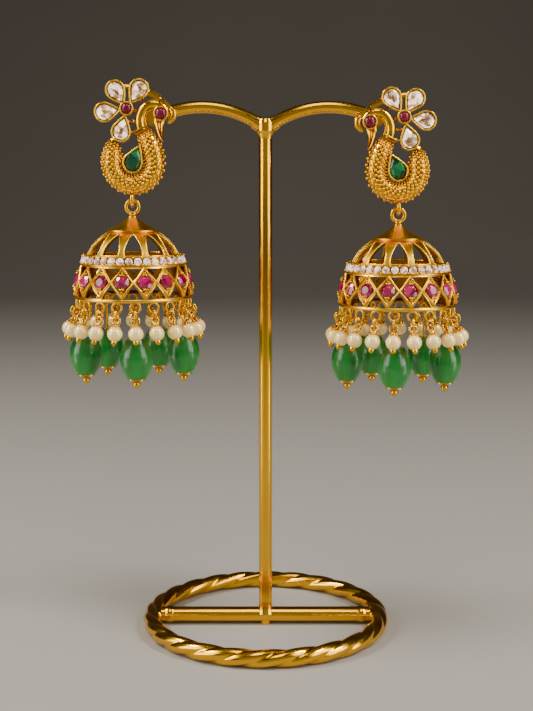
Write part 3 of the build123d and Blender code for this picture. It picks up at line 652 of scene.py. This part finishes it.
def pear_wire(radius, tip, thickness, top):
    """Round wire along a pear-shaped outline, pointed at +y."""
    put_down()
    bpy.ops.curve.primitive_bezier_circle_add(radius=radius)
    piece = bpy.context.object
    left, head, right, foot = piece.data.splines[0].bezier_points
    _, side_r, sweep = pear_side(radius, tip)
    shoulder = radians(PEAR_SHOULDER)
    pull = 4 / 3 * tan(sweep / 4) * side_r
    round_pull = 4 / 3 * tan((pi / 2 + shoulder) / 4) * radius
    for point in (left, head, right, foot):
        point.handle_left_type = point.handle_right_type = "FREE"
    for point, side in ((left, -1), (right, 1)):
        x, y = side * radius * cos(shoulder), radius * sin(shoulder)
        up = Vector((-side * sin(shoulder), cos(shoulder), 0))
        point.co = (x, y, 0)
        upper, lower = point.co + pull * up, point.co - round_pull * up
        point.handle_left, point.handle_right = (lower, upper) if side < 0 else (upper, lower)
    foot.co = (0, -radius, 0)
    foot.handle_left, foot.handle_right = (round_pull, -radius, 0), (-round_pull, -radius, 0)
    end = shoulder + pi / 2 + sweep
    back_x, back_y = -pull * cos(end), tip - pull * sin(end)
    head.co = (0, tip, 0)
    head.handle_left, head.handle_right = (-back_x, back_y, 0), (back_x, back_y, 0)
    curve = piece.data
    curve.resolution_u = 12
    curve.bevel_depth = thickness
    curve.bevel_resolution = 3
    bpy.ops.object.convert(target="MESH")
    piece = tidy(bpy.context.object, 60)
    piece.data.transform(Matrix.Translation((0, 0, top)))
    return piece


def outline_reach(radius, tip, direction):
    """Point of a pear outline furthest in a direction, and how far that is."""
    middle, side_r, sweep = pear_side(radius, tip)
    nx, ny = cos(radians(direction)), sin(radians(direction))
    turn = degrees(atan2(ny, abs(nx)))
    if turn <= PEAR_SHOULDER:
        x, y = radius * nx, radius * ny
    elif turn < PEAR_SHOULDER + degrees(sweep):
        x, y = side_r * nx + middle.x * (1 if nx > 0 else -1), side_r * ny + middle.y
    else:
        x, y = 0.0, tip
    return Vector((x, y, 0)), Vector((nx, ny, 0))


def slice_off(point, way):
    """Cuts away what lies beyond a plane and closes the cut with one facet."""
    bpy.ops.mesh.select_all(action="SELECT")
    bpy.ops.mesh.bisect(plane_co=point, plane_no=way, use_fill=True, clear_outer=True)


def cut_stone(radius, tip, heights, table, fine=True):
    """Pear or round stone with a table and main facets above and below the girdle.
    A fine one has girdle facets too, and stars round its table.
    Heights are culet, girdle bottom, girdle top and table."""
    culet, low, high, top = heights
    piece = begin(bpy.ops.mesh.primitive_cylinder_add, vertices=STONE_SIDES, radius=2 * tip, depth=6 * tip)
    middle = Vector((0, PEAR_MIDDLE * (tip - radius), 0))
    for direction in evenly(STONE_SIDES, 90):
        spot, out = outline_reach(radius, tip, direction)
        slice_off(spot, out)
    crown, pavilion = top - high, low - culet
    cuts = [(direction, 1.0, 1.0) for direction in evenly(MAIN_FACETS, 90)]
    if fine:
        cuts += [(direction, *GIRDLE_STEEPER) for direction in evenly(2 * MAIN_FACETS, 90 + 90 / MAIN_FACETS)]
    for direction, above, below in cuts:
        spot, out = outline_reach(radius, tip, direction)
        reach = (spot - middle).dot(out)
        slice_off(spot + Vector((0, 0, high)), out * crown * above + Vector((0, 0, reach * (1 - table))))
        slice_off(spot + Vector((0, 0, low)), out * pavilion * below - Vector((0, 0, reach)))
    if fine:
        for direction in evenly(MAIN_FACETS, 90 + 180 / MAIN_FACETS):
            spot, out = outline_reach(radius, tip, direction)
            reach = (spot - middle).dot(out)
            edge = middle + out * reach * table + Vector((0, 0, top))
            slice_off(edge, out * crown * STAR_STEEPNESS + Vector((0, 0, reach * (1 - table))))
    slice_off((0, 0, top), (0, 0, 1))
    return tidy(piece, 0)


def bezel_stone(bezel, size, fine=True):
    """Pear stone for a bezel, with its girdle a little below the bezel's top."""
    _, _, inner, inner_tip, top = bezel
    gap, tip_gap, rise, table = size
    heights = (CUP_FLOOR + 0.05, top - 0.45, top - 0.3, top + rise)
    return cut_stone(inner - gap, inner_tip - tip_gap, heights, table, fine)


def round_stone(size, fine=True):
    """Round stone of a given radius, heights and table's share."""
    radius, heights, table = size
    return cut_stone(radius, radius, heights, table, fine)


def granule(radius, segments=8, rings=6):
    """Small solder ball, pressed a little flat at its foot."""
    piece = begin(bpy.ops.mesh.primitive_uv_sphere_add, segments=segments, ring_count=rings, radius=radius)
    choose("VERT", lambda spot: spot.z < -0.7 * radius)
    grow(1, 1, 0.6)
    pick_up(piece)
    bpy.ops.object.shade_smooth()
    put_down()
    return piece


def crescent_stations():
    """Evenly spaced places along the crescent's spine: x, y and half width, and the way it runs."""
    spots = [Vector(station) for station in CRESCENT]
    ways = [(b - a).xy.normalized() for a, b in zip([spots[0]] + spots, spots[1:] + [spots[-1]])]
    ways = [(a + b).normalized() for a, b in zip(ways, ways[1:] + [ways[-1]])]
    stations, walked, before = [], 0.0, spots[0]
    steps = 40
    for k in range(len(spots) - 1):
        for step in range(steps):
            here = spots[k].lerp(spots[k + 1], step / steps)
            walked += (here - before).xy.length
            before = here
            if walked >= GRANULE_PITCH / 2:
                walked = 0.0
                stations.append((here, ways[k].lerp(ways[k + 1], step / steps).normalized()))
    return stations


def crescent_rows():
    """Places for granules in staggered rows, smaller on the inside of the bend where they crowd."""
    height, rise, section_r = SECTION
    spread = radians(GRANULE_SPREAD)
    places = []
    for row in range(GRANULE_ROWS):
        share = 2 * row / (GRANULE_ROWS - 1) - 1
        tilt = (spread * share + asin(sin(spread) * share)) / 2
        before = None
        for here, way in crescent_stations()[row % 2::2]:
            out = Vector((way.y * sin(tilt), -way.x * sin(tilt), cos(tilt)))
            spot = Vector((here.x, here.y, height + rise * here.z)) + out * (section_r * here.z + GRANULE_OUT)
            gap = (spot - before).length if before else GRANULE_PITCH
            before = spot
            size = min(0.40 * gap, 0.2 * here.z, GRANULE_R)
            turned = out.to_track_quat("Z", "Y").to_matrix().to_4x4()
            places.append(Matrix.Translation(spot) @ turned @ Matrix.Scale(size, 4))
    return places


def bezel_wire(radius, tip, top, wire):
    """Wire set in from one of a bezel's edges."""
    inset, tip_inset, thickness, depth = wire
    return pear_wire(radius - inset, tip - tip_inset, thickness, top - depth)


def petal_places():
    return [petal_place(*where) for where in PETALS.values()]


def bezel_rims():
    """Rounded wire on the top edge of every setting of the stud."""
    outer, tip, _, _, top = PETAL
    pieces = copies(bezel_wire(outer, tip, top, PETAL_RIM), petal_places())
    outer, tip, _, _, top = EMERALD
    pieces += copies(bezel_wire(outer, tip, top, EMERALD_RIM), [emerald_place()])
    for (outer, inner, top), spot in ((RUBY_CUP, FLOWER), (EYE_CUP, EYE_AT)):
        ring = begin(
            bpy.ops.mesh.primitive_torus_add, major_radius=(outer + inner) / 2,
            minor_radius=(outer - inner) / 2 + 0.04, major_segments=40, minor_segments=10,
        )
        choose("VERT", lambda here: here.z < -0.05)
        shift(0, 0, -0.5)
        put_down()
        tidy(ring, 60)
        pieces += copies(ring, [at(*spot, top - 0.06)])
    return joined(pieces)


def bezel_seats():
    """Inner wall of the pear-shaped bezels, between the rim and the stone, in near-black gold as painted
    shade.
    """
    _, _, inner, tip, top = PETAL
    pieces = copies(bezel_wire(inner, tip, top, PETAL_SEAT), petal_places())
    _, _, inner, tip, top = EMERALD
    return joined(pieces + copies(bezel_wire(inner, tip, top, EMERALD_SEAT), [emerald_place()]))


def cabochon(radius, top):
    """Smooth domed stone."""
    stone = begin(bpy.ops.mesh.primitive_uv_sphere_add, segments=32, ring_count=20, radius=1)
    grow(radius, radius, 0.95)
    slice_off((0, 0, -0.4), (0, 0, -1))
    put_down()
    stone.data.transform(Matrix.Translation((0, 0, top - 0.3)))
    return tidy(stone, 50)


def petal_granules():
    """Solder balls at the foot of each petal's round end."""
    places = []
    for petal in petal_places():
        places += [petal @ spot for spot in round_spots(PETAL[0], 1.0, (-150, -112, -70, -30))]
    return joined(copies(granule(0.2), places))


def crescent_painted_shade_bed():
    """Bed under the granules, over the crescent's domed front, near-black as painted shade."""
    put_down()
    bpy.ops.curve.primitive_nurbs_path_add()
    piece = bpy.context.object
    spine = piece.data.splines[0]
    spine.points.add(len(CRESCENT) - len(spine.points))
    height, radius = BED
    _, rise, _ = SECTION
    for point, (x, y, half) in zip(spine.points, CRESCENT):
        point.co = (x, y, height + rise * half, 1)
        point.radius = radius * half
    spine.order_u = 3
    spine.resolution_u = 6
    piece.data.bevel_depth = 1.0
    piece.data.bevel_resolution = 8
    piece.data.use_fill_caps = True
    bpy.ops.object.convert(target="MESH")
    piece = bpy.context.object
    bpy.ops.object.mode_set(mode="EDIT")
    bpy.ops.mesh.select_all(action="SELECT")
    bpy.ops.mesh.bisect(plane_co=(0, 0, 0.9), plane_no=(0, 0, 1), use_fill=True, clear_inner=True)
    put_down()
    return tidy(piece, 50)


def gallery_bars():
    """Short bars between the emerald's bezel and the crescent."""
    ring_r, height, bar_r, length = GALLERY
    bar = begin(bpy.ops.mesh.primitive_cylinder_add, vertices=8, radius=bar_r, depth=length)
    put_down()
    tidy(bar, 40)
    middle_x, middle_y, _ = EMERALD_AT
    spots = []
    for turn in range(150, 391, 16):
        spots.append(
            at(middle_x + ring_r * cos(radians(turn)), middle_y + ring_r * sin(radians(turn)), height)
            @ Matrix.Rotation(radians(turn), 4, "Z") @ Matrix.Rotation(radians(90), 4, "Y")
        )
    return joined(copies(bar, spots))


# ---------------------------------------------------------------- bell

def circle_through(a, b, c):
    """Middle and radius of the circle through three points of a plane."""
    (ax, ay), (bx, by), (cx, cy) = a, b, c
    d = 2 * (ax * (by - cy) + bx * (cy - ay) + cx * (ay - by))
    sa, sb, sc = ax * ax + ay * ay, bx * bx + by * by, cx * cx + cy * cy
    x = (sa * (by - cy) + sb * (cy - ay) + sc * (ay - by)) / d
    y = (sa * (cx - bx) + sb * (ax - cx) + sc * (bx - ax)) / d
    return Vector((x, y)), hypot(ax - x, ay - y)


def dome_skin():
    """Turned skin of the bell's upper half, to lay the window rims on."""
    first, _, last = DOME
    (mx, mz), _ = circle_through(*DOME)
    start, end = [atan2(z - mz, x - mx) for x, z in (first, last)]
    skin = begin(bpy.ops.mesh.primitive_circle_add, vertices=3, radius=0.01, location=(first[0], 0, first[1]))
    bpy.ops.mesh.merge(type="CENTER")
    bpy.ops.mesh.spin(steps=24, angle=end - start, center=(mx, 0, mz), axis=(0, 1, 0))
    bpy.ops.mesh.select_all(action="SELECT")
    bpy.ops.mesh.spin(steps=96, angle=2 * pi, center=(0, 0, 0), axis=(0, 0, 1))
    put_down()
    return skin


def window_rim(skin):
    """Wire rim round one pointed window, laid on the dome's skin at the front."""
    half, sill, foot, bow, point = WINDOW
    middle, radius = circle_through((half, foot), bow, (0, point))
    piece = begin(bpy.ops.mesh.primitive_cube_add, size=1, location=(0, 0.5, 0))
    grow(2 * half, point - sill, 1)
    shift(0, sill, 0)
    start, end = atan2(foot - middle.y, half - middle.x), atan2(point - middle.y, -middle.x)
    steps = 10
    for i in range(steps):
        turn = start + (end - start) * (i + 0.5) / steps
        for side in (-1, 1):
            way = Vector((side * cos(turn), sin(turn), 0))
            slice_off(Vector((side * middle.x, middle.y, 0)) + way * radius, way)
    choose("EDGE", lambda spot: spot.z > 0.4)
    bpy.ops.mesh.select_all(action="INVERT")
    bpy.ops.mesh.delete(type="EDGE")
    bpy.ops.mesh.select_all(action="SELECT")
    bpy.ops.mesh.subdivide(number_cuts=3)
    put_down()
    # stood up in front of the bell and pressed back on to its skin
    piece.data.transform(Matrix.Translation((0, -DOME[0][0] - 2, 0)) @ Matrix.Rotation(radians(90), 4, "X"))
    finish_with(
        piece, "SHRINKWRAP", target=skin, wrap_method="PROJECT", use_project_y=True,
        use_positive_direction=True, use_negative_direction=False,
    )
    pick_up(piece)
    bpy.ops.object.convert(target="CURVE")
    piece = bpy.context.object
    piece.data.bevel_depth = WINDOW_WIRE
    piece.data.bevel_resolution = 2
    bpy.ops.object.convert(target="MESH")
    return tidy(bpy.context.object, 60)


def rhomb_frame():
    """Frame round one ruby's rhombus, mitred at its corners and sloped on both sides of a narrow ridge."""
    half_w, half_h = RHOMB
    piece = begin(bpy.ops.mesh.primitive_circle_add, vertices=4, radius=1, fill_type="NGON")
    grow(half_w + FRAME_OUT[0], half_h + FRAME_OUT[1], 1)
    bpy.ops.mesh.inset(thickness=0.5, depth=0)
    bpy.ops.mesh.delete(type="FACE")
    bpy.ops.mesh.select_all(action="SELECT")
    bpy.ops.mesh.extrude_region_move(TRANSFORM_OT_translate={"value": (0, 0, 0.45)})
    bpy.ops.mesh.inset(thickness=0.2, depth=0.2)
    bpy.ops.mesh.select_all(action="SELECT")
    shift(0, 0, -0.6)
    put_down()
    return tidy(piece, 30)


def rhomb_wire():
    """Bright wire along the ridge of a ruby's frame."""
    half_w, half_h = RHOMB
    piece = begin(bpy.ops.mesh.primitive_circle_add, vertices=4, radius=1)
    grow(half_w + RIDGE_OUT[0], half_h + RIDGE_OUT[1], 1)
    pick_up(piece)
    bpy.ops.object.convert(target="CURVE")
    piece = bpy.context.object
    piece.data.bevel_depth = 0.14
    piece.data.bevel_resolution = 2
    bpy.ops.object.convert(target="MESH")
    piece = tidy(bpy.context.object, 50)
    piece.data.transform(Matrix.Translation((0, 0, 0.03)))
    return piece


def ruby_prongs():
    """Two small balls and a smaller one beyond them, for both ends of a ruby's frame."""
    big = granule(0.33)
    small = granule(0.24)
    pairs = [at(x, end * 1.72, 0.42) for end in (-1, 1) for x in (-0.30, 0.30)]
    tips = [at(0, end * 2.28, 0.25) for end in (-1, 1)]
    return joined(copies(big, pairs) + copies(small, tips))


def open_ruby():
    """Round ruby with the point of its back cut off."""
    stone = round_stone(RUBY)
    pick_up(stone)
    bpy.ops.object.mode_set(mode="EDIT")
    slice_off((0, 0, RUBY_BACK), (0, 0, -1))
    put_down()
    return stone


def pearl_cap():
    """Granulated crown that sits on a pearl's head."""
    cap = begin(
        bpy.ops.mesh.primitive_cone_add, vertices=16, radius1=1.14, radius2=0.40, depth=0.55,
        location=(0, 0, 1.70),
    )
    choose("VERT", lambda spot: spot.z < 1.6 and round(degrees(atan2(spot.y, spot.x)) / 22.5) % 2 == 0)
    shift(0, 0, -0.12)
    put_down()
    tidy(cap, 40)
    beads = copies(granule(0.27, 6, 5), round_spots(1.02, 1.60, evenly(8, 22.5)))
    beads += copies(granule(0.22, 6, 5), round_spots(0.52, 2.0, evenly(6)))
    return joined([cap] + beads)


def pearl_caps(turn):
    """Crowns for all of a bell's pearls."""
    radius, height = PEARL_AT
    places = [
        Matrix.Rotation(radians(around), 4, "Z") @ Matrix.Translation((0, -radius, height))
        @ Matrix.Rotation(radians(-PEARL_LEAN), 4, "X")
        for around in evenly(PEARLS, turn)
    ]
    return joined(copies(pearl_cap(), places))


def barrel_bead(glass, frosted):
    """Barrel-shaped bead with flat ends, clear outside and frosted in its bore."""
    half_w, half_h, end_r, bore = BEAD
    (mx, mz), _ = circle_through((end_r, -half_h), (half_w, 0), (end_r, half_h))
    turn = 2 * atan2(half_h, end_r - mx)
    piece = begin(bpy.ops.mesh.primitive_circle_add, vertices=3, radius=0.01, location=(end_r, 0, -half_h))
    bpy.ops.mesh.merge(type="CENTER")
    bpy.ops.mesh.spin(steps=20, angle=turn, center=(mx, 0, mz), axis=(0, 1, 0))
    choose("VERT", lambda spot: abs(spot.z) > half_h - 0.01)
    bpy.ops.mesh.extrude_region_move(TRANSFORM_OT_translate={"value": (bore - end_r, 0, 0)})
    bpy.ops.mesh.edge_face_add()
    bpy.ops.mesh.select_all(action="SELECT")
    bpy.ops.mesh.spin(steps=36, angle=2 * pi, center=(0, 0, 0), axis=(0, 0, 1))
    put_down()
    tidy(piece, 45)
    piece.data.materials.append(glass)
    piece.data.materials.append(frosted)
    for face in piece.data.polygons:
        face.material_index = 1 if face.center.xy.length < bore else 0
    return piece


def flange_wire():
    """Rounded wire round the bell's rim."""
    ring_r, wire_r, height = FLANGE
    ring = begin(
        bpy.ops.mesh.primitive_torus_add, major_radius=ring_r, minor_radius=wire_r, major_segments=120,
        minor_segments=12, location=(0, 0, height),
    )
    return tidy(ring, 60)


# ---------------------------------------------------------------- scene

def middle_of(node):
    """Middle of a CAD node, in millimetres."""
    piece = frame["nodes"][node]
    return sum(((piece.matrix_world @ Vector(corner)) for corner in piece.bound_box), Vector()) * 1000 / 8


def dress(node, finish):
    """Gives a CAD node its finish."""
    piece = frame["nodes"][node]
    piece.data.materials.clear()
    piece.data.materials.append(finish)


def glass_beads(name):
    """One bell's green beads, each in the place of its solid."""
    for i in range(1, GREEN_BEADS + 1):
        bead = name + "_green_bead_" + str(i)
        deliver(
            barrel_bead(glass, frosted), bead.replace("green", "glass"), name + "_drop", None,
            Matrix.Translation(middle_of(bead)), [bead],
        )


def stud_pieces(name, stud):
    """Stones, granules, wires and bars of one stud."""
    for stone, (_, inner, top), spot in (("flower", RUBY_CUP, FLOWER), ("eye", EYE_CUP, EYE_AT)):
        deliver(
            cabochon(inner - 0.03, top), name + "_" + stone + "_cabochon", "stand", smooth_ruby,
            stud @ at(*spot), [name + "_" + stone + "_ruby"],
        )
    granules = joined(copies(granule(1, 8, 7), crescent_rows()))
    deliver(granules, name + "_crescent_granules", "stand", rubbed, stud)
    # painted shade: the bed under the granules is near-black gold
    deliver(crescent_painted_shade_bed(), name + "_crescent_painted_shade_bed", "stand", painted_shade_dark_gold, stud)
    deliver(bezel_rims(), name + "_bezel_rims", "stand", bright, stud)
    # painted shade: the bezel seats are near-black gold
    deliver(bezel_seats(), name + "_bezel_seats", "stand", painted_shade_dark_gold, stud)
    deliver(petal_granules(), name + "_petal_granules", "stand", gold, stud)
    deliver(gallery_bars(), name + "_gallery_bars", "stand", gold, stud)
    for petal, where in PETALS.items():
        deliver(
            bezel_stone(PETAL, PETAL_STONE), name + "_petal_stone_" + petal, "stand",
            crystal, stud @ petal_place(*where), [name + "_flower_crystal_" + petal],
        )
    deliver(
        bezel_stone(EMERALD, EMERALD_STONE, fine=False), name + "_cut_emerald", "stand",
        emerald, stud @ emerald_place(), [name + "_emerald"],
    )


def lattice_pieces(name, drop, turn, shade_painted_finish):
    """Ruby frames with their wires, prongs and stones, and the wires round the windows and the rim."""
    body = name + "_drop"
    seats = [wall_place(around, *RHOMB_SEAT) for around in evenly(RHOMBI, turn + 180 / RHOMBI)]
    frames = joined(copies(rhomb_frame(), seats))
    deliver(frames, name + "_ruby_frames", body, shade_painted_finish, drop)
    wires = joined(copies(rhomb_wire(), seats))
    deliver(wires, name + "_ruby_frame_wires", body, bright, drop)
    prongs = joined(copies(ruby_prongs(), seats))
    deliver(prongs, name + "_ruby_prongs", body, gold, drop)
    skin = dome_skin()
    windows = [Matrix.Rotation(radians(around), 4, "Z") for around in evenly(WINDOWS, turn)]
    rims = joined(copies(window_rim(skin), windows))
    deliver(rims, name + "_window_rims", body, bright, drop)
    bpy.data.objects.remove(skin)
    deliver(flange_wire(), name + "_flange_wire", body, bright, drop)
    rubies = joined(copies(open_ruby(), seats))
    deliver(rubies, name + "_cut_rubies", body, ruby, drop, [name + "_bell_rubies"])


def band_pieces(name, drop, turn):
    """White stones of the crystal band and the small gold beads between them, above and below."""
    body = name + "_drop"
    seats = [wall_place(around, *BAND_SEAT) for around in evenly(BAND_STONES, turn + 180 / BAND_STONES)]
    stones = joined(copies(round_stone(BAND_STONE, fine=False), seats))
    deliver(
        stones, name + "_cut_band_crystals", body, white_crystal,
        drop, [name + "_band_crystals"],
    )
    away, height = BAND_BEAD
    spots = [
        wall_place(around, *BAND_SEAT) @ at(0, y, height)
        for around in evenly(BAND_STONES, turn) for y in (-away, away)
    ]
    deliver(joined(copies(granule(0.27), spots)), name + "_band_beads", body, gold, drop)


dress("stand_frame", satin)
deliver(
    rope_ring(), "twisted_base_ring", "stand", satin,
    Matrix.Translation((0, 0, ROPE[1])), ["stand_base_ring"],
)
deliver(bar_solder(), "crossbar_solder", "stand", satin, Matrix())

for name, (side, bell_turn, pearl_turn) in SIDES.items():
    pivot = next(Vector(j["pos_m"]) * 1000 for j in frame["joints"] if j["child"] == name + "_drop")
    rim = pivot.z - PIVOT_ABOVE
    drop = Matrix.Translation((pivot.x, pivot.y, rim))
    for node in ("peacock_stud", "ear_nut", "pearl_links", "pearl_pins", "green_pins"):
        dress(name + "_" + node, gold)
    # the bell's gold, with painted shade on its inner faces and in its pockets
    shade_painted_finish = bell_gold(name, pivot, rim)
    dress(name + "_bell_dome", shade_painted_finish)
    dress(name + "_pearls", pearl)
    glass_beads(name)
    stud_pieces(name, stud_place(side, pivot.x, rim + RIM_BELOW))
    lattice_pieces(name, drop, -side * bell_turn, shade_painted_finish)
    band_pieces(name, drop, -side * bell_turn)
    crowns = pearl_caps(-side * pearl_turn)
    deliver(crowns, name + "_pearl_caps", name + "_drop", gold, drop)


# ---------------------------------------------------------------- studio

def paper_floor():
    """Pale floor that curves up into a wall at its back."""
    width, depth, y = FLOOR
    floor = begin(bpy.ops.mesh.primitive_plane_add, size=1)
    grow(width, depth, 1)
    shift(0, y, 0)
    choose("EDGE", lambda middle: middle.y > 0.9)
    for i in range(CURVE_STEPS):
        way = radians(90 / CURVE_STEPS * (i + 0.5))
        step = (0, CURVE_STEP * cos(way), CURVE_STEP * sin(way))
        bpy.ops.mesh.extrude_region_move(TRANSFORM_OT_translate={"value": step})
    bpy.ops.mesh.extrude_region_move(TRANSFORM_OT_translate={"value": (0, 0, WALL_HEIGHT)})
    pick_up(floor)
    bpy.ops.object.shade_smooth()
    floor.name = "studio_floor"
    paper = Finish("pale_paper", Roughness=0.85, Specular_IOR_Level=0.2)
    colour = paper.blend(paper.cloud(0.3), *PAPER)
    floor.data.materials.append(paper.feed(Base_Color=colour).material)


def lamps():
    """Soft boxes that the camera doesn't see, and a dim warm surround."""
    for name, place, size, power, colour in SOFT_BOXES:
        lamp = bpy.data.lights.new(name, "AREA")
        lamp.shape, lamp.size, lamp.size_y = "RECTANGLE", size[0], size[1]
        lamp.energy, lamp.color = power, colour
        box = bpy.data.objects.new(name, lamp)
        box.location = place
        box.rotation_euler = (Vector(LAMPS_AIM_AT) - Vector(place)).to_track_quat("-Z", "Y").to_euler()
        box.visible_camera = False
        bpy.context.scene.collection.objects.link(box)

    world = bpy.data.worlds.new("studio")
    bpy.context.scene.world = world
    world.use_nodes = True
    world.node_tree.nodes["Background"].inputs["Color"].default_value = BACKGROUND
    world.node_tree.nodes["Background"].inputs["Strength"].default_value = 1.0


def camera():
    lens = bpy.data.cameras.new("camera")
    lens.lens, lens.sensor_width = LENS, 36.0
    lens.clip_start = 0.01
    eye = bpy.data.objects.new("camera", lens)
    eye.location = CAMERA_AT
    eye.rotation_euler = (radians(90 - LOOKS_DOWN), 0, 0)
    bpy.context.scene.collection.objects.link(eye)
    bpy.context.scene.camera = eye


paper_floor()
lamps()
camera()
